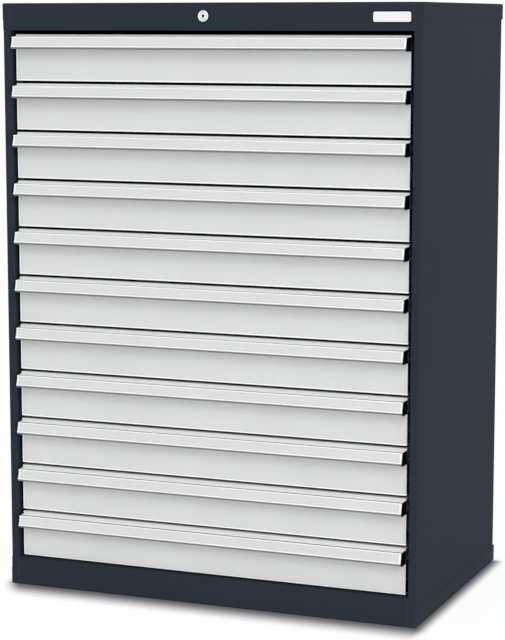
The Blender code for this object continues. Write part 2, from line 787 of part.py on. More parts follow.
def locking_bar():
    # A flat bar behind the drawers with a finger below each drawer's catch and a slot for the crank pin.
    bottom = SHEET + BAR_BOTTOM_SPACE
    top = LOCK_Z + BAR_HEAD
    made = block("locking_bar", (-BAR_WIDTH / 2, BAR_FRONT, bottom), (BAR_WIDTH / 2, BAR_BACK, top))
    catch_rear = PANEL_Y + TRAY_DEPTH + CATCH_REACH
    lip_back = catch_rear - TRAY_SHEET - CATCH_GAP
    lip_top = front_bottom(DRAWER_COUNT) + CATCH_HEIGHT - CATCH_LIP - CATCH_CLEARANCE
    path = [
        (BAR_FRONT + WELD_BITE, lip_top - FINGER_LIP - FINGER_THICKNESS),
        (lip_back - FINGER_THICKNESS, lip_top - FINGER_LIP - FINGER_THICKNESS),
        (lip_back - FINGER_THICKNESS, lip_top),
    ]
    finger = prism("finger", folded(path[::-1], FINGER_THICKNESS), -FINGER_WIDTH / 2, FINGER_WIDTH / 2, "X")
    repeated(finger, [Vector((0, 0, PITCH)) * step for step in range(DRAWER_COUNT)])
    join(made, finger)
    half_slot = PIN_RADIUS + PIN_PLAY
    pin_z = LOCK_Z - PIN_OFFSET
    slot = block("pin_slot",
                 (-CRANK_THROW - half_slot, BAR_FRONT - OVERRUN, pin_z - half_slot),
                 (half_slot - PIN_OFFSET, BAR_BACK + OVERRUN, pin_z + half_slot))
    return coat(cut(made, slot), zinc)


def bar_guide(name, number):
    # A hat-shaped clip on the back panel that the locking bar slides in, above one drawer's finger.
    inner = BAR_WIDTH / 2 + BAR_PLAY
    end = inner + SHEET + GUIDE_FOOT
    feet = BACK_INNER - SEAT
    web = BAR_FRONT - BAR_PLAY
    path = [(end, feet), (inner, feet), (inner, web), (-inner, web), (-inner, feet), (-end, feet)]
    bottom = front_bottom(number) + GUIDE_RISE
    return coat(prism(name, folded(path, SHEET), bottom, bottom + GUIDE_HEIGHT, "Z"), zinc)


# Assembly

def housing_pieces():
    top_cover()
    base_pan()
    back_panel()
    mirrored(side_panel("side_panel_right"), "side_panel_left")
    mirrored(runner_frame("runner_frame_right"), "runner_frame_left")


def lock_pieces():
    lock_collar()
    lock_nut()
    lock_cylinder()
    lock_shaft()
    lock_crank()
    shaft_bracket()
    locking_bar()
    bar_guide("bar_guide_upper", 2)
    bar_guide("bar_guide_lower", DRAWER_COUNT)


def drawers():
    # Every drawer is the same, so its pieces share their meshes and hang from one empty each.
    first_runner = runner("runner_right")
    patterns = {
        "tray": tray("tray"),
        "handle": handle("handle"),
        "runner_right": first_runner,
        "runner_left": mirrored(first_runner, "runner_left"),
    }
    for number in range(1, DRAWER_COUNT + 1):
        slide = bpy.data.objects.new(f"drawer_{number:02d}_slide", None)
        slide.location = (0, PANEL_Y, front_bottom(number))
        cabinet.objects.link(slide)
        for piece, pattern in patterns.items():
            copy = new_object(f"drawer_{number:02d}_{piece}", pattern.data)
            copy.location = pattern.location
            copy.parent = slide
    for pattern in patterns.values():
        bpy.data.objects.remove(pattern, do_unlink=True)


housing_pieces()
lock_pieces()
drawers()
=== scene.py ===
import math

import bmesh
import bpy
from mathutils import Matrix, Vector


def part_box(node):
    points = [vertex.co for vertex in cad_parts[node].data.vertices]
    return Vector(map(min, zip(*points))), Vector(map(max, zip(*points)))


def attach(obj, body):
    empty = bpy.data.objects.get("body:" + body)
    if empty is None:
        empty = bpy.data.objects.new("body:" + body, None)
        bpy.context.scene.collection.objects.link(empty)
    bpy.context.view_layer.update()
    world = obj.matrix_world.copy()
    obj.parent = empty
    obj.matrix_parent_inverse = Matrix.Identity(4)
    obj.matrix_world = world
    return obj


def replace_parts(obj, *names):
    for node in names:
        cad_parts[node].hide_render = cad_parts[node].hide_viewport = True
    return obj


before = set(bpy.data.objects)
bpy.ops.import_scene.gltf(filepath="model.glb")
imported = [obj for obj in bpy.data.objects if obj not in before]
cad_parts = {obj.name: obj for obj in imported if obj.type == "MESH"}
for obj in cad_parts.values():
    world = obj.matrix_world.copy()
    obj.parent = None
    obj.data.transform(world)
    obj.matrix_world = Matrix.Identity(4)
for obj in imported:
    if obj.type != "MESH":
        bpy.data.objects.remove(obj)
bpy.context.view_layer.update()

# Looks of the industrial drawer cabinet: powder coated housing, eleven dressed drawers, lock, plate, stage.
# Metres, +Z up, the drawers open towards -Y. Places are read off the frame's own pieces.

drawerNames = [f"drawer_{number:02d}" for number in range(1, 12)]
housingLow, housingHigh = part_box("base_pan")[0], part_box("top_cover")[1]
frontPlane = housingLow[1]  # front face of the housing
halfWidth = housingHigh[0]
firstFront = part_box("drawer_11_tray")[0]  # lower left front corner of the lowest drawer
halfPanel = -firstFront[0]
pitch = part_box("drawer_10_tray")[0][2] - firstFront[2]
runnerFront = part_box("drawer_11_runner_left")[0][1]
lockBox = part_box("lock_collar")
lockCentre = ((lockBox[0][0] + lockBox[1][0]) / 2, lockBox[0][1], (lockBox[0][2] + lockBox[1][2]) / 2)


# Sockets that take part in Python sums, for shader trees and geometry trees alike.

class Wire:
    def __init__(self, tree, socket):
        self.tree = tree
        self.socket = socket

    @classmethod
    def add(cls, tree, kind, settings=None, sockets=None, out=0):
        node = tree.nodes.new(kind)
        for key, value in (settings or {}).items():
            setattr(node, key, value)
        for key, value in (sockets or {}).items():
            cls.plug(tree, node.inputs[key], value)
        return cls(tree, node.outputs[out])

    @staticmethod
    def plug(tree, socket, value):
        if isinstance(value, Wire):
            tree.links.new(value.socket, socket)
        elif socket.type == "RGBA" and len(value) == 3:
            socket.default_value = (*value, 1)
        else:
            socket.default_value = value

    def sum(self, operation, *values):
        return Wire.add(self.tree, "ShaderNodeMath", {"operation": operation}, dict(enumerate(values)))

    def __add__(self, other):
        return self.sum("ADD", self, other)

    def __radd__(self, other):
        return self.sum("ADD", other, self)

    def __sub__(self, other):
        return self.sum("SUBTRACT", self, other)

    def __rsub__(self, other):
        return self.sum("SUBTRACT", other, self)

    def __mul__(self, other):
        return self.sum("MULTIPLY", self, other)

    def __rmul__(self, other):
        return self.sum("MULTIPLY", other, self)

    def __truediv__(self, other):
        return self.sum("DIVIDE", self, other)

    def __rtruediv__(self, other):
        return self.sum("DIVIDE", other, self)

    def __lt__(self, other):
        return self.sum("LESS_THAN", self, other)

    def __gt__(self, other):
        return self.sum("GREATER_THAN", self, other)

    def __abs__(self):
        return self.sum("ABSOLUTE", self)

    def atLeast(self, other):
        return self.sum("MAXIMUM", self, other)

    def root(self):
        return self.sum("SQRT", self)

    def sine(self):
        return self.sum("SINE", self)

    def wrapped(self, start, length):  # the remainder after whole lengths from start
        return self.sum("FLOORED_MODULO", self - start, length)

    def ramp(self, low, high, toLow=0.0, toHigh=1.0):  # smooth step from one value to another
        return Wire.add(self.tree, "ShaderNodeMapRange", {"interpolation_type": "SMOOTHSTEP"},
                        {0: self, 1: low, 2: high, 3: toLow, 4: toHigh})

    def mixed(self, first, second):  # two colours, this wire being the share of the second
        return Wire.add(self.tree, "ShaderNodeMix", {"data_type": "RGBA"}, {0: self, 6: first, 7: second}, 2)


def seenDirectly(tree):
    # One for the camera, mirrors and glass, nought for the light that falls on things.
    rays = Wire.add(tree, "ShaderNodeLightPath").socket.node.outputs
    camera, mirror, glass = (
        Wire(tree, rays[kind]) for kind in ("Is Camera Ray", "Is Glossy Ray", "Is Transmission Ray"))
    return camera.atLeast(mirror).atLeast(glass)


class Finish:
    # A material with its place, noise and shader at hand.
    def __init__(self, name, **constants):
        self.material = bpy.data.materials.new(name)
        self.material.use_nodes = True
        self.tree = self.material.node_tree
        self.shader = self.tree.nodes["Principled BSDF"]
        self.set(**constants)
        self.place = Wire.add(self.tree, "ShaderNodeTexCoord", out="Object")
        split = Wire.add(self.tree, "ShaderNodeSeparateXYZ", sockets={0: self.place}).socket.node
        self.x, self.y, self.z = (Wire(self.tree, split.outputs[index]) for index in range(3))

    def mapped(self, stretch):
        return Wire.add(self.tree, "ShaderNodeMapping", sockets={"Vector": self.place, "Scale": stretch})

    def noise(self, scale, detail=2.0, stretch=(1, 1, 1)):
        return Wire.add(self.tree, "ShaderNodeTexNoise", sockets={
            "Vector": self.mapped(stretch), "Scale": scale, "Detail": detail})

    def cells(self, scale):
        return Wire.add(self.tree, "ShaderNodeTexVoronoi", sockets={
            "Vector": self.place, "Scale": scale}, out="Color")

    def bump(self, height, depth, strength):
        self.set(Normal=Wire.add(self.tree, "ShaderNodeBump", sockets={
            "Strength": strength, "Distance": depth, "Height": height}))

    def set(self, **values):
        for socketName, value in values.items():
            Wire.plug(self.tree, self.shader.inputs[socketName.replace("_", " ")], value)


def shaded(tone, share):
    return tuple(share * part for part in tone)


# Paints, metals and plastics. Scales are per metre, a bump is its depth in metres and its strength.

housingPaintLook = {
    "deepTone": (0.0206, 0.0266, 0.0374),
    "paleTone": (0.0226, 0.0291, 0.0405),
    "sheen": 0.010,  # how much of the paint's mirror is left, out of 0.5 for bare lacquer
    "roughness": 0.46, "roughSpread": 0.10,
    "cloudScale": 2.2, "fineScale": 90,
    "peelScale": 420, "bump": (0.00006, 0.5),  # the powder coat's orange peel
    # painted light: the folds inside the opening are painted paler, for the light they would catch off the
    # drawers
    "openingHalf": 0.432, "openingBand": 0.0006, "jambLight": 1.5,
    # painted light: paler paint evens out the shade at the steps of the side sheets and at their foot
    "stepLight": 1.55, "stepSheet": 0.003, "panTop": 0.035, "panEdge": 0.0003, "panReach": 0.005,
    "coverFoot": 1.187, "coverReach": 0.008, "coverShare": 0.22, "footReach": 0.05, "footShare": 0.5,
}

drawerPaintLook = {
    "tone": (0.604, 0.618, 0.610),
    "footHighlightTone": (0.92, 0.93, 0.93),  # painted highlight along each front's lower fold
    "endShadeTone": (0.564, 0.588, 0.598),
    "foldHighlightTone": (0.78, 0.79, 0.80),  # painted highlight on the left end's fold
    "cutShadeTone": (0.034, 0.036, 0.040),  # painted shade: the sheet's cut ends, in the gap beside the jamb, near black
    "cloudScale": 7, "cloudShade": 0.975,
    "sheen": 0.25, "smudgeScale": 60, "roughness": 0.38, "roughSpread": 0.12,
    "peelScale": 460, "bump": (0.00005, 0.4),
    "footHighlightBand": 0.0042,  # how far the painted highlight of the lower fold reaches up the panel
    "foldHighlightBand": 0.0036,
    "endShadeBand": 0.011,  # the painted shade along each end, duller and bluer
    "frontBand": 0.004,  # how deep the front's tones go from its face
    "cutShadeBand": 0.00005,
    "below": 0.002,  # each front's heights count from this far below it
}

gripLook = {
    "tone": (0.70, 0.71, 0.71), "streakTone": (0.75, 0.76, 0.76),
    "lipHighlightTone": (0.82, 0.825, 0.825),  # painted highlight on the lip below the label
    "shadeTone": (0.19, 0.192, 0.195),  # painted shade on the turned-in lower edge
    # painted shade in the channel
    "channelShadeTone": (0.04, 0.041, 0.043),
    # painted light on the ledge
    "ledgeLightTone": (0.93, 0.935, 0.935),
    "ledgeBand": 0.0004, "channelEdge": 0.0002, "channelBand": 0.0005, "underBand": 0.0012,  # where tones end
    "metalShare": 0.25, "refraction": 1.45, "sheen": 0.2, "roughness": 0.42, "roughSpread": 0.16,
    "lineScale": 900, "lineStretch": 0.004, "bump": (0.00002, 0.5),  # drawing lines of the extrusion
    "cloudScale": 14, "cloudStretch": 0.2,
}

gripSizes = {  # heights above the front's lower edge, reaches before its face
    "ledge": 0.0896, "fall": 0.001, "ledgeReach": 0.022, "reach": 0.0275, "face": 0.0212, "wall": 0.002,
    "channelWidth": 0.0032, "channelDepth": 0.0025, "backLeg": 0.017,
    "labelLip": 0.0026, "labelDepth": 0.0009,
    "curl": 0.0036, "curlLip": 0.0018,
    "cap": 0.002, "capDrop": 0.001, "capBevel": 0.0004, "seat": 0.0003, "nose": 0.0008,
}

labelLook = {
    "tone": (0.552, 0.563, 0.560), "fibreTone": (0.580, 0.589, 0.584),
    "fibreScale": 700, "fibreStretch": 0.3, "bump": (0.00002, 0.4), "cloudScale": 11,
    "sheen": 0.2, "coat": 0.08, "coatRoughness": 0.2, "roughness": 0.42, "roughSpread": 0.10,
}

plateLook = {
    "tone": (0.66, 0.67, 0.68), "grainTone": (0.71, 0.715, 0.72),
    "grainScale": 500, "bump": (0.00002, 0.4),
    "sheen": 0.2, "coat": 0.1, "coatRoughness": 0.15, "roughness": 0.30, "roughSpread": 0.10,
}

capLook = {
    "deepTone": (0.0006, 0.0006, 0.0007), "paleTone": (0.0014, 0.0014, 0.0016),
    "grainScale": 900, "bump": (0.00004, 0.6), "sheen": 0.02, "roughness": 0.55, "roughSpread": 0.15,
}

# painted shade: near black for the faces inside the keyway
keyholeLook = {
    "deepTone": (0.002, 0.002, 0.003), "paleTone": (0.006, 0.006, 0.007),
    "grainScale": 1500, "bump": None, "sheen": 0.02, "roughness": 0.6, "roughSpread": 0.2,
}

zincLook = {
    "tones": ((0.46, 0.475, 0.49), (0.66, 0.67, 0.68)),  # deep and pale
    "blackTones": ((0.045, 0.046, 0.050), (0.085, 0.087, 0.092)),
    "endShadeTone": (0.015, 0.015, 0.016), "endShadeBand": 0.0008,  # painted shade: the front ends, near black
    "cellScale": 95, "cloudScale": 25, "bump": (0.00006, 0.3), "roughness": 0.30, "roughSpread": 0.22,
}

chromeLook = {
    "collarTone": (0.81, 0.81, 0.83), "coreTone": (0.80, 0.80, 0.80), "hazeShade": 0.94,
    "ringScale": 9000.0, "hazeScale": 300, "bump": (0.00001, 0.5), "roughness": 0.20, "roughSpread": 0.10,
}


def housingPaint(look):
    coat = Finish("housing_powder_coat", Specular_IOR_Level=look["sheen"])
    cloud, fine = coat.noise(look["cloudScale"]), coat.noise(look["fineScale"], 3.0)
    body = (cloud * 0.7 + fine * 0.3).ramp(0.3, 0.7).mixed(look["deepTone"], look["paleTone"])
    inOpening = abs(abs(coat.x) - look["openingHalf"]) < look["openingBand"]
    pan, cover = look["panTop"], look["coverFoot"]
    # painted light: paler paint at the side sheets' steps and at their foot
    overPan = (coat.z > pan - look["panEdge"]) * coat.z.ramp(pan, pan + look["panReach"], 1, 0)
    underCover = (coat.z < cover) * coat.z.ramp(cover - look["coverReach"], cover, 0, look["coverShare"])
    atFoot = coat.z.ramp(0, look["footReach"], look["footShare"], 0)
    atStep = (abs(coat.x) > halfWidth - look["stepSheet"]) * (overPan + underCover + atFoot)
    # painted light on the jamb folds inside the opening
    sheet = inOpening.mixed(body, shaded(look["paleTone"], look["jambLight"]))
    coat.set(Base_Color=atStep.mixed(sheet, shaded(look["paleTone"], look["stepLight"])),
             Roughness=look["roughness"] + fine * look["roughSpread"])
    coat.bump(coat.noise(look["peelScale"]), *look["bump"])
    return coat.material


def drawerPaint(look):
    coat = Finish("drawer_powder_coat", Specular_IOR_Level=look["sheen"])
    onFront = coat.y < firstFront[1] + look["frontBand"]
    fromEnd = halfPanel - abs(coat.x)
    # painted shade: the cut ends of the sheet are near black
    cut = fromEnd < look["cutShadeBand"]
    up = coat.z.wrapped(firstFront[2] - look["below"], pitch) - look["below"]
    # painted highlight along the lower fold of each front
    foot = up.ramp(0.3 * look["footHighlightBand"], look["footHighlightBand"], 1.0, 0.0) * onFront
    # painted highlight on the left end's fold
    foldHighlight = (coat.x + halfPanel).ramp(0.4 * look["foldHighlightBand"], look["foldHighlightBand"], 1.0, 0.0) * onFront
    # painted shade along both ends
    end = fromEnd.ramp(0.3 * look["endShadeBand"], look["endShadeBand"], 1.0, 0.0) * onFront
    cloud = coat.noise(look["cloudScale"]).ramp(0.35, 0.65)
    body = cloud.mixed(look["tone"], shaded(look["tone"], look["cloudShade"]))
    panel = foot.mixed(foldHighlight.mixed(end.mixed(body, look["endShadeTone"]), look["foldHighlightTone"]), look["footHighlightTone"])
    coat.set(Base_Color=cut.mixed(panel, look["cutShadeTone"]),
             Roughness=look["roughness"] + coat.noise(look["smudgeScale"]) * look["roughSpread"])
    coat.bump(coat.noise(look["peelScale"]), *look["bump"])
    return coat.material


def gripMetal(look, sizes):
    metal = Finish("grip_anodised_aluminium", Metallic=look["metalShare"], IOR=look["refraction"],
                   Specular_IOR_Level=look["sheen"])
    lines = metal.noise(look["lineScale"], stretch=(look["lineStretch"], 1, 1))
    cloud = metal.noise(look["cloudScale"], stretch=(look["cloudStretch"], 1, 1))
    up = metal.z.wrapped(firstFront[2], pitch)
    back = metal.y - firstFront[1]
    body = (lines * 0.6 + cloud * 0.4).ramp(0.3, 0.7).mixed(look["tone"], look["streakTone"])
    # painted light on the ledge
    onLedge = (up > sizes["ledge"] - look["ledgeBand"]) * (back > -sizes["ledgeReach"])
    seam = back + sizes["ledgeReach"] - sizes["wall"]
    overBed = up > sizes["ledge"] - sizes["channelDepth"] - look["channelBand"]
    # painted shade in the channel
    inChannel = (seam > -look["channelEdge"]) * (seam < sizes["channelWidth"] + sizes["nose"]) * overBed
    foot = sizes["ledge"] - sizes["face"]
    # painted shade on the turned-in lower edge
    under = up.ramp(foot, foot + look["underBand"], 1.0, 0.0)
    # painted highlight on the lip below the label
    tone = (up < foot + sizes["labelLip"]).mixed(body, look["lipHighlightTone"])
    tone = inChannel.mixed(onLedge.mixed(tone, look["ledgeLightTone"]), look["channelShadeTone"])
    metal.set(Base_Color=under.mixed(tone, look["shadeTone"]),
              Roughness=look["roughness"] + lines * look["roughSpread"])
    metal.bump(lines, *look["bump"])
    return metal.material


def blackPlasticAndShadow(name, look):
    plastic = Finish(name, Specular_IOR_Level=look["sheen"])
    grain = plastic.noise(look["grainScale"])
    plastic.set(Base_Color=grain.mixed(look["deepTone"], look["paleTone"]),
                Roughness=look["roughness"] + grain * look["roughSpread"])
    if look["bump"]:
        plastic.bump(grain, *look["bump"])
    return plastic.material


def labelPaper(look):
    paper = Finish("label_strip", Specular_IOR_Level=look["sheen"], Coat_Weight=look["coat"],
                   Coat_Roughness=look["coatRoughness"])
    fibre = paper.noise(look["fibreScale"], 3.0, (look["fibreStretch"], 1, 1))
    cloud = paper.noise(look["cloudScale"])
    paper.set(Base_Color=(fibre * 0.5 + cloud * 0.5).ramp(0.35, 0.65).mixed(look["tone"], look["fibreTone"]),
              Roughness=look["roughness"] + fibre * look["roughSpread"])
    paper.bump(fibre, *look["bump"])
    return paper.material


def zincSteel(name, tones, look):
    zinc = Finish(name, Metallic=1.0)
    grey = Wire.add(zinc.tree, "ShaderNodeRGBToBW", sockets={0: zinc.cells(look["cellScale"])})
    cloud = zinc.noise(look["cloudScale"], 3.0)
    shade = grey * 0.55 + cloud * 0.45
    # painted shade: the front ends are near black
    shadedFrontEnd = zinc.y < runnerFront + look["endShadeBand"]
    zinc.set(Base_Color=shadedFrontEnd.mixed(shade.mixed(*tones), look["endShadeTone"]),
             Roughness=look["roughness"] + shade * look["roughSpread"])
    zinc.bump(cloud, *look["bump"])
    return zinc.material


def lockChrome(name, tone, look):
    # Turned metal: rings round the lock's own axis.
    metal = Finish(name, Metallic=1.0)
    up = metal.z - lockCentre[2]
    radius = (metal.x * metal.x + up * up).root()
    haze = metal.noise(look["hazeScale"], 3.0)
    metal.set(Base_Color=haze.mixed(tone, shaded(tone, look["hazeShade"])),
              Roughness=look["roughness"] + haze * look["roughSpread"])
    metal.bump((radius * look["ringScale"]).sine() * 0.5 + haze * 0.5, *look["bump"])
    return metal.material


def platePlastic(look):
    plate = Finish("plate_white", Specular_IOR_Level=look["sheen"], Coat_Weight=look["coat"],
                   Coat_Roughness=look["coatRoughness"])
    grain = plate.noise(look["grainScale"])
    plate.set(Base_Color=grain.mixed(look["tone"], look["grainTone"]),
              Roughness=look["roughness"] + grain * look["roughSpread"])
    plate.bump(grain, *look["bump"])
    return plate.material


finishes = {
    "housing": housingPaint(housingPaintLook),
    "drawer": drawerPaint(drawerPaintLook),
    "grip": gripMetal(gripLook, gripSizes),
    "cap": blackPlasticAndShadow("cap_black_plastic", capLook),
    "label": labelPaper(labelLook),
    "zinc": zincSteel("zinc_plated_steel", zincLook["tones"], zincLook),
    "black zinc": zincSteel("black_zinc_steel", zincLook["blackTones"], zincLook),
    "collar": lockChrome("lock_polished_nickel", chromeLook["collarTone"], chromeLook),
    "core": lockChrome("lock_core_nickel", chromeLook["coreTone"], chromeLook),
    "plate": platePlastic(plateLook),
    "dark": blackPlasticAndShadow("keyhole_shadow", keyholeLook),
}
print("finishes:", len(finishes))


# Drawing helpers

roundingLimits = {  # corners that turn less, or edges that leave less room, stay as they are
    "turn": 25, "room": 0.00005, "edgeShare": 0.45, "bevelTurn": 60,
}


def bendPath(path, radius, steps):
    # The path with each inner corner as an arc.
    points = [Vector(point) for point in path]
    out = [points[0]]
    for before, corner, after in zip(points, points[1:], points[2:]):
        arrive, leave = (corner - before).normalized(), (after - corner).normalized()
        bend = arrive.angle(leave)
        side = 1 if arrive.cross(leave) > 0 else -1
        normal = Vector((-arrive.y, arrive.x)) * side
        centre = corner - arrive * radius * math.tan(bend / 2) + normal * radius
        for step in range(steps + 1):
            out.append(centre - Matrix.Rotation(side * bend * step / steps, 2) @ normal * radius)
    return out + [points[-1]]


def sheetOutline(path, thickness):
    # A strip of sheet: the path and the same path shifted to its left.
    points = [Vector(point) for point in path]
    runs = [(after - before).normalized() for before, after in zip(points, points[1:])]
    shifted = []
    for index, point in enumerate(points):
        arrive, leave = runs[max(index - 1, 0)], runs[min(index, len(runs) - 1)]
        normal = Vector((-arrive.y - leave.y, arrive.x + leave.x)).normalized()
        shifted.append(point + normal * thickness / normal.dot(Vector((-arrive.y, arrive.x))))
    return points + shifted[::-1]


axisPlaces = {
    "x": lambda along, across, up: (along, across, up),  # outline is (y, z)
    "y": lambda along, across, up: (across, along, up),  # outline is (x, z)
}


def drawOut(name, outline, low, high, axis, finish=None):
    # A closed outline drawn out from low to high along one axis.
    shape, place = bmesh.new(), axisPlaces[axis]
    rims = [[shape.verts.new(place(along, across, up)) for across, up in outline] for along in (low, high)]
    for index in range(len(outline)):
        after = (index + 1) % len(outline)
        shape.faces.new((rims[0][index], rims[1][index], rims[1][after], rims[0][after]))
    ends = [shape.faces.new(rims[0]), shape.faces.new(rims[1][::-1])]
    for end in ends:
        end.normal_update()  # without its normal a hollow outline is split wrongly
    bmesh.ops.triangulate(shape, faces=ends)
    return addObject(name, meshFrom(name, shape), finish)


def arcPoints(centre, radius, start, end, steps):
    # Points of an arc, angles in degrees; the radius may be a pair for an oval.
    across, along = radius if isinstance(radius, tuple) else (radius, radius)
    turns = [math.radians(start + (end - start) * step / steps) for step in range(steps + 1)]
    return [(centre[0] + across * math.cos(turn), centre[1] + along * math.sin(turn)) for turn in turns]


def turnRound(name, profile, sizes, centre, finish):
    # A closed profile of (radius, place along Y) turned about an axis along Y; radius zero makes a pole.
    shape, rings, steps = bmesh.new(), [], sizes["steps"]
    for radius, along in profile:
        if radius == 0:
            rings.append([shape.verts.new((centre[0], along, centre[2]))])
        else:
            circle = arcPoints((centre[0], centre[2]), radius, 0, 360, steps)[:-1]
            rings.append([shape.verts.new((across, along, up)) for across, up in circle])
    closed = profile[0][0] > 0 and profile[-1][0] > 0
    pairs = list(zip(rings, rings[1:])) + ([(rings[-1], rings[0])] if closed else [])
    for first, second in pairs:
        for step in range(steps):
            after = (step + 1) % steps
            corners = [first[step % len(first)], first[after % len(first)],
                       second[after % len(second)], second[step % len(second)]]
            shape.faces.new(list(dict.fromkeys(corners)))
    return addObject(name, meshFrom(name, shape), finish, sizes["sharpFrom"])


def softened(outline, radius, steps=3):
    # Rounds every corner of a closed outline that turns sharply, as far as its edges allow.
    points = [Vector(point) for point in outline]
    out = []
    for index, corner in enumerate(points):
        before, after = points[index - 1], points[(index + 1) % len(points)]
        arrive, leave = corner - before, after - corner
        bend = arrive.angle(leave)
        room = min(arrive.length * roundingLimits["edgeShare"], leave.length * roundingLimits["edgeShare"])
        reach = min(radius * math.tan(bend / 2), room)
        if bend < math.radians(roundingLimits["turn"]) or reach < roundingLimits["room"]:
            out.append(corner)
            continue
        first, last = corner - arrive.normalized() * reach, corner + leave.normalized() * reach
        for step in range(steps + 1):
            share = step / steps
            out.append(first * (1 - share) ** 2 + corner * 2 * share * (1 - share) + last * share ** 2)
    return out


def meshFrom(name, shape, turnOut=True):
    if turnOut:
        bmesh.ops.recalc_face_normals(shape, faces=shape.faces)
    mesh = bpy.data.meshes.new(name)
    shape.to_mesh(mesh)
    shape.free()
    return mesh


def addObject(name, mesh, finish=None, smoothAngle=None):
    made = bpy.data.objects.new(name, mesh)
    bpy.context.scene.collection.objects.link(made)
    if finish:
        dress(made, finish)
    if smoothAngle:
        mesh.shade_smooth()
        mesh.set_sharp_from_angle(angle=math.radians(smoothAngle))
    return made


def dress(made, finish):
    made.data.materials.clear()
    made.data.materials.append(finishes[finish])


def flatten(made):
    # The object as a plain mesh, its modifiers applied.
    bpy.context.view_layer.update()
    depsgraph = bpy.context.evaluated_depsgraph_get()
    mesh = bpy.data.meshes.new_from_object(made.evaluated_get(depsgraph))
    made.modifiers.clear()
    made.data = mesh
    return made


def bevelled(made, width, segments):
    edge = made.modifiers.new("edge", "BEVEL")
    edge.width = width
    edge.segments = segments
    edge.limit_method = "ANGLE"
    edge.angle_limit = math.radians(roundingLimits["bevelTurn"])
    return flatten(made)


def joined(name, parts, finish):
    shape = bmesh.new()
    for part in parts:
        shape.from_mesh(part.data)
        bpy.data.objects.remove(part, do_unlink=True)
    return addObject(name, meshFrom(name, shape, False), finish)


def placed(name, pattern, shift, body):
    # A copy of a pattern mesh with its place in the mesh, riding on one body.
    mesh = pattern.data.copy()
    mesh.name = name
    mesh.transform(Matrix.Translation(shift))
    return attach(addObject(name, mesh), body)


# Geometry node trees for what repeats

def newTree(name, inputs):
    tree = bpy.data.node_groups.new(name, "GeometryNodeTree")
    tree.interface.new_socket("Geometry", in_out="INPUT", socket_type="NodeSocketGeometry")
    for label, kind in inputs.items():
        tree.interface.new_socket(label, in_out="INPUT", socket_type=f"NodeSocket{kind}")
    tree.interface.new_socket("Geometry", in_out="OUTPUT", socket_type="NodeSocketGeometry")
    source = tree.nodes.new("NodeGroupInput")
    return tree, {socket.name: Wire(tree, socket) for socket in source.outputs if socket.name}


def closeTree(tree, geometry, material):
    whole = Wire.add(tree, "GeometryNodeRealizeInstances", sockets={"Geometry": geometry})
    dressed = Wire.add(tree, "GeometryNodeSetMaterial", sockets={"Geometry": whole, "Material": material})
    drain = tree.nodes.new("NodeGroupOutput")
    tree.links.new(dressed.socket, drain.inputs["Geometry"])


def grow(made, tree, values):
    # Runs a tree on an object with its inputs set by identifier, and keeps the result as plain mesh.
    step = made.modifiers.new(tree.name, "NODES")
    step.node_group = tree
    for item in tree.interface.items_tree:
        if item.item_type == "SOCKET" and item.in_out == "INPUT" and item.name in values:
            step[item.identifier] = values[item.name]
    return flatten(made)


def punchTree():
    # Rows of round-ended slots punched through both walls of a tray.
    tree, given = newTree("tray_wall_slots", {
        "Slot Width": "Float", "Slot Height": "Float", "Corner": "Float", "Pitch": "Float", "Count": "Int",
        "Start": "Vector", "Reach": "Float", "Material": "Material"})
    outline = Wire.add(tree, "GeometryNodeCurvePrimitiveQuadrilateral", sockets={
        "Width": given["Slot Width"], "Height": given["Slot Height"]})
    rounded = Wire.add(tree, "GeometryNodeFilletCurve", {"mode": "POLY"}, {
        "Curve": outline, "Radius": given["Corner"], "Limit Radius": True, "Count": 3})
    start = Wire.add(tree, "ShaderNodeCombineXYZ", sockets={0: given["Reach"] * -1.0})
    end = Wire.add(tree, "ShaderNodeCombineXYZ", sockets={0: given["Reach"]})
    line = Wire.add(tree, "GeometryNodeCurvePrimitiveLine", sockets={"Start": start, "End": end})
    punch = Wire.add(tree, "GeometryNodeCurveToMesh", sockets={
        "Curve": line, "Profile Curve": rounded, "Fill Caps": True})
    step = Wire.add(tree, "ShaderNodeCombineXYZ", sockets={1: given["Pitch"]})
    row = Wire.add(tree, "GeometryNodeMeshLine", sockets={
        "Count": given["Count"], "Start Location": given["Start"], "Offset": step})
    punches = Wire.add(tree, "GeometryNodeInstanceOnPoints", sockets={"Points": row, "Instance": punch})
    cutWalls = Wire.add(tree, "GeometryNodeMeshBoolean", {"operation": "DIFFERENCE", "solver": "EXACT"}, {
        "Mesh 1": given["Geometry"], "Mesh 2": punches})
    closeTree(tree, cutWalls, given["Material"])
    return tree


def rivetTree():
    # A domed head on every point of the mesh, turned to the point's own direction.
    tree, given = newTree("rivet_heads", {
        "Head Radius": "Float", "Head Rise": "Float", "Sides": "Int", "Material": "Material"})
    ball = Wire.add(tree, "GeometryNodeMeshUVSphere", sockets={
        "Segments": given["Sides"], "Rings": 6, "Radius": given["Head Radius"]})
    squash = Wire.add(tree, "ShaderNodeCombineXYZ", sockets={
        0: 1.0, 1: 1.0, 2: given["Head Rise"] / given["Head Radius"]})
    head = Wire.add(tree, "GeometryNodeTransform", sockets={"Geometry": ball, "Scale": squash})
    aim = Wire.add(tree, "GeometryNodeInputNamedAttribute", {"data_type": "FLOAT_VECTOR"}, {"Name": "aim"})
    turn = Wire.add(tree, "FunctionNodeAlignRotationToVector", {"axis": "Z"}, {"Vector": aim})
    heads = Wire.add(tree, "GeometryNodeInstanceOnPoints", sockets={
        "Points": given["Geometry"], "Instance": head, "Rotation": turn})
    closeTree(tree, heads, given["Material"])
    return tree


punches = punchTree()
rivets = rivetTree()


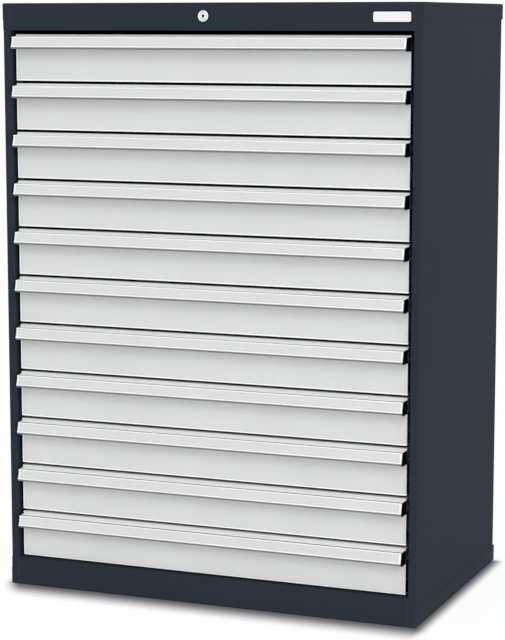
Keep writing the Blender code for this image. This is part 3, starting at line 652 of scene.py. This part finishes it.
def rivetRow(name, seats, sizes, finish):
    # Seats are (place, direction) pairs.
    mesh = bpy.data.meshes.new(name)
    mesh.from_pydata([place for place, aim in seats], [], [])
    aims = mesh.attributes.new("aim", "FLOAT_VECTOR", "POINT")
    for item, (place, aim) in zip(aims.data, seats):
        item.vector = aim
    return grow(addObject(name, mesh), rivets, {
        "Head Radius": sizes["radius"], "Head Rise": sizes["rise"], "Sides": sizes["sides"],
        "Material": finishes[finish]})


# Housing: the frame's own sheets keep their shape and get their paint

blackPieces = ("shaft_bracket", "bar_guide", "locking_bar", "lock_shaft", "lock_crank")

for node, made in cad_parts.items():
    if node in ("top_cover", "base_pan", "side_panel_left", "side_panel_right", "back_panel"):
        dress(made, "housing")
    if "runner" in node:
        dress(made, "zinc")
    if node.startswith(blackPieces):
        dress(made, "black zinc")

plateSizes = {
    "left": 0.3512, "right": 0.4266, "bottom": 1.1822, "top": 1.2016,
    # painted shade: a black rim round the plate stands for its dark outline
    "corner": 0.0035, "rise": 0.0014, "rim": 0.0006, "pad": 0.0003, "shadowRimSpread": 0.0018, "shadowRimSeat": 0.00005,
}


def roundedRectangle(left, right, bottom, top, radius, steps=6):
    corners = [(right - radius, top - radius, 0), (left + radius, top - radius, 90),
               (left + radius, bottom + radius, 180), (right - radius, bottom + radius, 270)]
    return [point for x, z, start in corners for point in arcPoints((x, z), radius, start, start + 90, steps)]


def buildPlate(sizes):
    # the plate stands on a black rim, painted shade for its dark outline
    layers = (("fascia_plate", "plate", 0, sizes["pad"], sizes["rise"]),
              ("fascia_plate_shadow_rim", "cap", sizes["shadowRimSpread"], sizes["shadowRimSeat"], sizes["pad"]))
    for name, finish, spread, back, front in layers:
        outline = roundedRectangle(sizes["left"] - spread, sizes["right"] + spread, sizes["bottom"] - spread,
                                   sizes["top"] + spread, sizes["corner"])
        made = drawOut(name, outline, frontPlane - front, frontPlane - back, "y", finish)
        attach(made if spread else bevelled(made, sizes["rim"], 3), "housing")


backRivetSizes = {
    "radius": 0.0034, "rise": 0.0013, "sides": 12,
    "sideInset": 0.018, "firstHeight": 0.05, "step": 0.146, "ends": 0.08,  # up both sides
    "firstAcross": -0.36, "stepAcross": 0.12, "countAcross": 7,  # along foot and head
    "foot": 0.032, "head": 0.042,
}


def backRivets(sizes):
    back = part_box("back_panel")[1][1]
    count = int((housingHigh[2] - sizes["ends"]) / sizes["step"]) + 1
    places = [(side * (halfWidth - sizes["sideInset"]), back, sizes["firstHeight"] + sizes["step"] * index)
              for side in (-1, 1) for index in range(count)]
    places += [(sizes["firstAcross"] + sizes["stepAcross"] * index, back, level)
               for index in range(sizes["countAcross"])
               for level in (sizes["foot"], housingHigh[2] - sizes["head"])]
    made = rivetRow("back_panel_rivets", [(place, (0, 1, 0)) for place in places], sizes, "housing")
    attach(made, "housing")


buildPlate(plateSizes)
backRivets(backRivetSizes)
print("housing dressed")


# Lock

lockSizes = {
    "reach": 0.006, "radius": 0.0112, "rimRound": 0.0012, "bore": 0.0079, "barrel": 0.0095, "seat": 0.0003,
    "mouth": ((0, 0.0008), (0.0004, 0.0001), (0.0009, 0)),  # the bore's soft edge: steps outward and inward
    "core": 0.0076, "coreLength": 0.030, "coreBevel": 0.0005, "tail": 0.004, "steps": 72, "sharpFrom": 35,
    "keyWidth": 0.0022, "keyHead": 0.0052, "keyHeight": 0.0092, "keyDepth": 0.010, "keyBefore": 0.002,
    "keyTop": 0.7, "leftWard": (0.0004, 0.0022), "rightWard": (0.0034, 0.0028, 0.0022, 0.0008), "waist": 0.6,
    "keyRound": 0.0009,
}


def buildCollar(sizes):
    front, radius, bore, rim = frontPlane - sizes["reach"], sizes["radius"], sizes["bore"], sizes["rimRound"]
    seat, rear = frontPlane - sizes["seat"], lockBox[1][1]
    profile = [(bore + outward, front + inward) for outward, inward in sizes["mouth"]]
    profile += arcPoints((radius - rim, front + rim), rim, -90, 0, 6)
    profile += [(radius, seat), (sizes["barrel"], seat), (sizes["barrel"], rear), (bore, rear)]
    collar = turnRound("lock_collar_turned", profile, sizes, lockCentre, "collar")
    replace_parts(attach(collar, "housing"), "lock_collar")


def keywayPunch(sizes, front):
    # The keyway is wide at its head, waisted by two wards and narrower below.
    head, half, up = sizes["keyHead"] / 2, sizes["keyWidth"] / 2, sizes["keyHeight"] / 2
    top, (leftUpper, leftLower) = sizes["keyTop"] * up, sizes["leftWard"]
    foot, waist, neck, shoulder = sizes["rightWard"]
    warded = [(-head, top), (-head, -leftUpper), (-half, -leftLower), (-half, -up), (half, -up),
              (half, -foot), (half * sizes["waist"], -waist), (half, -neck), (head, -shoulder), (head, top)]
    outline = [(x + lockCentre[0], z + lockCentre[2]) for x, z in softened(warded, sizes["keyRound"])]
    return drawOut("keyway_punch", outline, front - sizes["keyBefore"], front + sizes["keyDepth"], "y")


def buildCore(sizes):
    low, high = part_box("lock_cylinder")
    front, radius, tail, bevel = low[1], sizes["core"], sizes["tail"], sizes["coreBevel"]
    shoulder = front + sizes["coreLength"]
    profile = [(0, front), (radius - bevel, front), (radius, front + bevel), (radius, shoulder - bevel),
               (radius - bevel, shoulder), (tail, shoulder), (tail, high[1] - bevel), (tail - bevel, high[1]),
               (0, high[1])]
    core = turnRound("lock_core_turned", profile, sizes, lockCentre, "core")
    core.data.materials.append(finishes["dark"])
    punch = keywayPunch(sizes, front)
    cut = core.modifiers.new("keyway", "BOOLEAN")
    cut.operation = "DIFFERENCE"
    cut.solver = "EXACT"
    cut.object = punch
    flatten(core)
    bpy.data.objects.remove(punch, do_unlink=True)
    core.data.set_sharp_from_angle(angle=math.radians(sizes["sharpFrom"]))
    for face in core.data.polygons:  # the faces inside the keyway get the near-black keyhole material, painted shade
        place = face.center - Vector(lockCentre)
        if math.hypot(place.x, place.z) < radius - 2 * bevel and front < place.y + lockCentre[1] < shoulder:
            face.material_index = 1
    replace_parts(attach(core, "lock_core"), "lock_cylinder")


buildCollar(lockSizes)
buildCore(lockSizes)
dress(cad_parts["lock_nut"], "core")
print("lock built")


# Drawers, each drawn about the middle of its front's lower edge

traySizes = {
    "frontSheet": 0.0015, "frontFlange": 0.015, "frontRound": 0.002, "frontHeight": 0.0945,
    "sheet": 0.0012, "half": 0.402, "lift": 0.008, "height": 0.072, "hem": 0.006, "depth": 0.520,
    "bend": 0.002, "backInset": 0.0007,
    "bite": 0.0004,  # how far welded sheets go into each other
    "railCentre": 0.042, "railHeight": 0.040, "railDepth": 0.010, "railSheet": 0.0015, "railLength": 0.470,
    "railBend": 0.0016,
    "catchWidth": 0.024, "catchReach": 0.014, "catchHeight": 0.050, "catchLip": 0.006, "catchBend": 0.0015,
}

slotSizes = {
    "width": 0.003, "height": 0.030, "cornerShare": 0.49, "pitch": 0.025, "count": 18,
    "first": 0.045, "middle": 0.046, "past": 0.01,  # the punches reach this far past the walls
}

rivetSizes = {
    "radius": 0.0028, "rise": 0.0011, "sides": 10,
    "first": 0.05, "step": 0.14, "count": 4, "levels": (0.027, 0.067),
}


def frontPan(sizes):
    flange, height = sizes["frontFlange"], sizes["frontHeight"]
    path = [(flange, height), (0, height), (0, 0), (flange, 0)]
    outline = sheetOutline(bendPath(path, sizes["frontRound"], 6), sizes["frontSheet"])
    return drawOut("front_pan", outline, -halfPanel, halfPanel, "x")


def trayBody(sizes, slots):
    half, lift, top, hem = sizes["half"], sizes["lift"], sizes["lift"] + sizes["height"], sizes["hem"]
    path = [(hem - half, top), (-half, top), (-half, lift), (half, lift), (half, top), (half - hem, top)]
    outline = sheetOutline(bendPath(path, sizes["bend"], 3), sizes["sheet"])
    body = drawOut("tray_body", outline, sizes["frontSheet"] - sizes["bite"], sizes["depth"], "y")
    return grow(body, punches, {
        "Slot Width": slots["width"], "Slot Height": slots["height"],
        "Corner": slots["width"] * slots["cornerShare"],
        "Pitch": slots["pitch"], "Count": slots["count"], "Start": (0, slots["first"], slots["middle"]),
        "Reach": half + slots["past"], "Material": finishes["drawer"]})


def trayBack(sizes):
    top, half = sizes["lift"] + sizes["height"], sizes["half"] - sizes["backInset"]
    path = [(sizes["depth"], sizes["lift"]), (sizes["depth"], top), (sizes["depth"] - sizes["hem"], top)]
    outline = sheetOutline(bendPath(path, sizes["bend"], 3), sizes["sheet"])
    return drawOut("tray_back", outline, -half, half, "x")


def trayRail(sizes, side):
    web, front = sizes["half"] - sizes["bite"], sizes["frontFlange"]
    lip, top = web + sizes["railDepth"], sizes["railCentre"] + sizes["railHeight"] / 2
    bottom = top - sizes["railHeight"]
    path = bendPath([(lip, top), (web, top), (web, bottom), (lip, bottom)], sizes["railBend"], 3)
    outline = [(side * across, up) for across, up in sheetOutline(path, sizes["railSheet"])]
    return drawOut("tray_rail", outline, front, front + sizes["railLength"], "y")


def trayCatch(sizes):
    start, rear = sizes["depth"] - sizes["bite"], sizes["depth"] + sizes["catchReach"]
    level, lip = sizes["catchHeight"] + sizes["sheet"], sizes["catchHeight"] - sizes["catchLip"]
    path = [(rear, lip), (rear, level), (start, level)]
    outline = sheetOutline(bendPath(path, sizes["catchBend"], 3), sizes["sheet"])
    return drawOut("tray_catch", outline, -sizes["catchWidth"] / 2, sizes["catchWidth"] / 2, "x")


def buildTray(sizes, slots):
    parts = [frontPan(sizes), trayBody(sizes, slots), trayBack(sizes),
             trayRail(sizes, -1), trayRail(sizes, 1), trayCatch(sizes)]
    return joined("tray_dressed", parts, "drawer")


def railRivets(tray, sizes):
    wall = tray["half"] - tray["sheet"]
    seats = [((side * wall, sizes["first"] + sizes["step"] * index, level), (-side, 0, 0))
             for side in (-1, 1) for index in range(sizes["count"]) for level in sizes["levels"]]
    return rivetRow("tray_rivets", seats, sizes, "drawer")


def gripFace(sizes, below, inward=0.0):
    slope = (sizes["reach"] - sizes["ledgeReach"]) / sizes["face"]
    return (inward - sizes["ledgeReach"] - slope * below, sizes["ledge"] - below)


def gripCurl(sizes, radius, fall, steps=6):
    # The lower edge's quarter turn, from its outermost point down and inward.
    middle = (sizes["curl"] - sizes["reach"], sizes["ledge"] - sizes["face"])
    return arcPoints(middle, (radius, fall), 180, 270, steps)


def buildGrip(sizes):
    ledge, wall, lip, deep, seat = (sizes[key] for key in ("ledge", "wall", "labelLip", "labelDepth", "seat"))
    foot, curl, back = sizes["face"], sizes["curl"], sizes["backLeg"]
    channelFront, bed = wall - sizes["ledgeReach"], ledge - sizes["channelDepth"]
    channelBack = channelFront + sizes["channelWidth"]
    tip = curl - sizes["reach"] + sizes["curlLip"]
    under, inner = ledge - foot, curl - wall
    section = [
        (-seat, ledge + sizes["fall"]), (channelBack, ledge), (channelBack, bed), (channelFront, bed),
        (channelFront, ledge), gripFace(sizes, 0), gripFace(sizes, lip), gripFace(sizes, lip, deep),
        gripFace(sizes, foot - lip, deep), gripFace(sizes, foot - lip), *gripCurl(sizes, curl, curl),
        (tip, under - curl), (tip, under - inner), *gripCurl(sizes, inner, inner)[::-1],
        gripFace(sizes, foot - lip, wall + deep), gripFace(sizes, wall + sizes["channelDepth"], wall + deep),
        (channelBack + wall, bed - wall), (channelBack + wall, ledge - wall), (-seat - wall, ledge - wall),
        (-seat - wall, ledge - back), (-seat, ledge - back),
    ]
    half = halfPanel - sizes["cap"]
    return drawOut("grip_profile", softened(section, sizes["nose"]), -half, half, "x", "grip")


def buildCaps(sizes):
    ledge, curl, seat = sizes["ledge"], sizes["curl"], sizes["seat"]
    fall = curl + sizes["capDrop"]
    outline = [(-seat, ledge + sizes["fall"]), gripFace(sizes, 0), *gripCurl(sizes, curl, fall),
               (-seat, ledge - sizes["face"] - fall)]
    parts = []
    for side in (-1, 1):
        inner, outer = sorted((side * halfPanel, side * (halfPanel - sizes["cap"])))
        cap = drawOut("grip_cap", softened(outline, sizes["nose"]), inner, outer, "x")
        parts.append(bevelled(cap, sizes["capBevel"], 2))
    return joined("grip_caps", parts, "cap")


labelSizes = {"endSpace": 0.0045, "thickness": 0.0005, "play": 0.0002, "seat": 0.0001}


def buildLabel(sizes, grip):
    top, bottom = grip["labelLip"] + sizes["play"], grip["face"] - grip["labelLip"] - sizes["play"]
    seat, face = grip["labelDepth"] - sizes["seat"], grip["labelDepth"] - sizes["thickness"]
    outline = [gripFace(grip, top, seat), gripFace(grip, top, face),
               gripFace(grip, bottom, face), gripFace(grip, bottom, seat)]
    half = halfPanel - grip["cap"] - sizes["endSpace"]
    return drawOut("label_strip", outline, -half, half, "x", "label")


patterns = {  # pattern, a finish name and the node that the copy stands for
    "tray_dressed": (buildTray(traySizes, slotSizes), "drawer_paint", "tray"),
    "tray_rivets": (railRivets(traySizes, rivetSizes), "drawer_paint", None),
    "grip_profile": (buildGrip(gripSizes), "handle_aluminium", "handle"),
    "grip_caps": (buildCaps(gripSizes), None, None),
    "label_strip": (buildLabel(labelSizes, gripSizes), None, None),
}

for drawer in drawerNames:
    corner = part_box(f"{drawer}_tray")[0]
    for piece, (pattern, slotName, node) in patterns.items():
        made = placed(f"{drawer}_{piece}", pattern, Vector((0, corner[1], corner[2])), drawer)
        if node:
            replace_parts(made, f"{drawer}_{node}")
for pattern, slotName, node in patterns.values():
    bpy.data.objects.remove(pattern, do_unlink=True)
print("drawers dressed:", len(drawerNames))


# Stage, light and camera

stageSizes = {
    "floorHalf": 14.0,
    "frontReach": 0.092, "sideReach": 0.031,  # how far the painted contact shadow spreads
    "leftSlant": 0.6, "leftFrom": -0.024, "leftTo": 0.020,  # its slanting soft end at the left front corner
    "contactTone": 0.09,
    "paleTone": (0.93, 0.93, 0.93),
    "shadowShare": 0.08,  # the floor's own lit colour in what the camera sees, the rest being white with the painted contact shadow
    "whiteFrom": 0.9, "whiteTo": 2.6,  # distances over which the floor becomes plain white
}


def contactShade(tree, sizes):
    # Painted soft shadow along the foot: wide in front, narrow on the right, slanting away at the left front
    # corner.
    place = Wire.add(tree, "ShaderNodeTexCoord", out="Object")
    split = Wire.add(tree, "ShaderNodeSeparateXYZ", sockets={0: place}).socket.node
    x, y = Wire(tree, split.outputs[0]), Wire(tree, split.outputs[1])
    before = (frontPlane - y).atLeast(0.0) / sizes["frontReach"]
    beside = (abs(x) - halfWidth).atLeast(0.0) / sizes["sideReach"]
    behind = (y + frontPlane).atLeast(0.0) / sizes["sideReach"]
    rearwards = (x < -halfWidth) * (y - frontPlane).atLeast(0.0) / sizes["frontReach"]
    away = (before * before + beside * beside + behind * behind + rearwards * rearwards).root()
    depth = 1.0 - away.ramp(0.0, 1.0, sizes["contactTone"], 1.0)
    pastEnd = x + halfWidth + sizes["leftSlant"] * (y - frontPlane)
    distance = (x * x + y * y).root()
    return 1.0 - depth * pastEnd.ramp(sizes["leftFrom"], sizes["leftTo"]), distance


def stageMaterial(sizes):
    # White to the camera and to reflections, with a painted contact shadow and a small share of the object's
    # real shadow kept, and a plain pale bounce besides.
    material = bpy.data.materials.new("studio_floor")
    material.use_nodes = True
    tree = material.node_tree
    tree.nodes.clear()
    shade, distance = contactShade(tree, sizes)
    pale = Wire.add(tree, "ShaderNodeBsdfDiffuse", sockets={"Color": sizes["paleTone"]})
    tone = Wire.add(tree, "ShaderNodeCombineColor", sockets={0: shade, 1: shade, 2: shade})
    glow = Wire.add(tree, "ShaderNodeEmission", sockets={"Color": tone, "Strength": 1.0})
    plain = distance.ramp(sizes["whiteFrom"], sizes["whiteTo"], 1.0 - sizes["shadowShare"], 1.0)
    mostly = Wire.add(tree, "ShaderNodeMixShader", sockets={0: plain, 1: pale, 2: glow})
    final = Wire.add(tree, "ShaderNodeMixShader", sockets={0: seenDirectly(tree), 1: pale, 2: mostly})
    drain = tree.nodes.new("ShaderNodeOutputMaterial")
    tree.links.new(final.socket, drain.inputs["Surface"])
    return material


def buildStage(sizes):
    shape = bmesh.new()
    reach = sizes["floorHalf"]
    shape.faces.new([shape.verts.new(corner) for corner in
                     ((-reach, -reach, 0), (reach, -reach, 0), (reach, reach, 0), (-reach, reach, 0))])
    floor = addObject("studio_floor", meshFrom("studio_floor", shape, False))
    floor.data.materials.append(stageMaterial(sizes))


def buildWorld(look):
    world = bpy.data.worlds.new("studio_world")
    world.use_nodes = True
    bpy.context.scene.world = world
    tree = world.node_tree
    tree.nodes.clear()
    soft = Wire.add(tree, "ShaderNodeBackground", sockets={
        "Color": look["tint"], "Strength": look["strength"]})
    white = Wire.add(tree, "ShaderNodeBackground", sockets={"Color": (1, 1, 1), "Strength": 1.0})
    both = Wire.add(tree, "ShaderNodeMixShader", sockets={0: seenDirectly(tree), 1: soft, 2: white})
    drain = tree.nodes.new("ShaderNodeOutputWorld")
    tree.links.new(both.socket, drain.inputs["Surface"])


lamps = {  # place, target, size, watts
    "lamp_key": ((0.9, -4.8, 1.30), (0, -0.3, 0.45), (4.2, 2.4), 55),
    "lamp_above": ((-0.4, -1.6, 4.2), (0, -0.2, 0.6), (3.4, 2.6), 12),
    "lamp_right": ((4.0, -0.4, 1.7), (0.45, 0, 0.6), (2.2, 2.6), 29),
    "lamp_rear": ((-1.6, 4.4, 2.2), (0, 0.3, 0.6), (3.4, 2.6), 70),
}

skylight = {"turn": 20, "height": 40, "spread": 32, "strength": 1.08}  # a broad even light from high in front
worldLook = {"tint": (1.0, 1.0, 1.0), "strength": 0.60}


def areaLamp(name, place, target, size, power):
    lamp = bpy.data.lights.new(name, "AREA")
    lamp.shape = "RECTANGLE"
    lamp.size, lamp.size_y = size
    lamp.energy = power
    made = bpy.data.objects.new(name, lamp)
    bpy.context.scene.collection.objects.link(made)
    made.location = place
    made.rotation_euler = (Vector(target) - Vector(place)).to_track_quat("-Z", "Y").to_euler()


def buildSkylight(values):
    sky = bpy.data.lights.new("lamp_skylight", "SUN")
    sky.angle = math.radians(values["spread"])
    sky.energy = values["strength"]
    made = bpy.data.objects.new("lamp_skylight", sky)
    bpy.context.scene.collection.objects.link(made)
    made.rotation_euler = (math.radians(90 - values["height"]), 0, math.radians(values["turn"]))


buildStage(stageSizes)
buildWorld(worldLook)
for name, values in lamps.items():
    areaLamp(name, *values)
buildSkylight(skylight)

bpy.context.scene.view_settings.view_transform = "Standard"

cameraView = {
    "place": (1.6369, -4.06315, 1.1839), "yaw": 22.053, "pitch": 8.197, "lens": 116.76, "sensor": 36,
}


def buildCamera(view):
    lens = bpy.data.cameras.new("photo_camera")
    lens.lens = view["lens"]
    lens.sensor_width = view["sensor"]
    lens.sensor_fit = "AUTO"
    camera = bpy.data.objects.new("photo_camera", lens)
    bpy.context.scene.collection.objects.link(camera)
    camera.location = view["place"]
    camera.rotation_euler = (math.radians(90 - view["pitch"]), 0, math.radians(view["yaw"]))
    bpy.context.scene.camera = camera


buildCamera(cameraView)
print("stage, light and camera set")
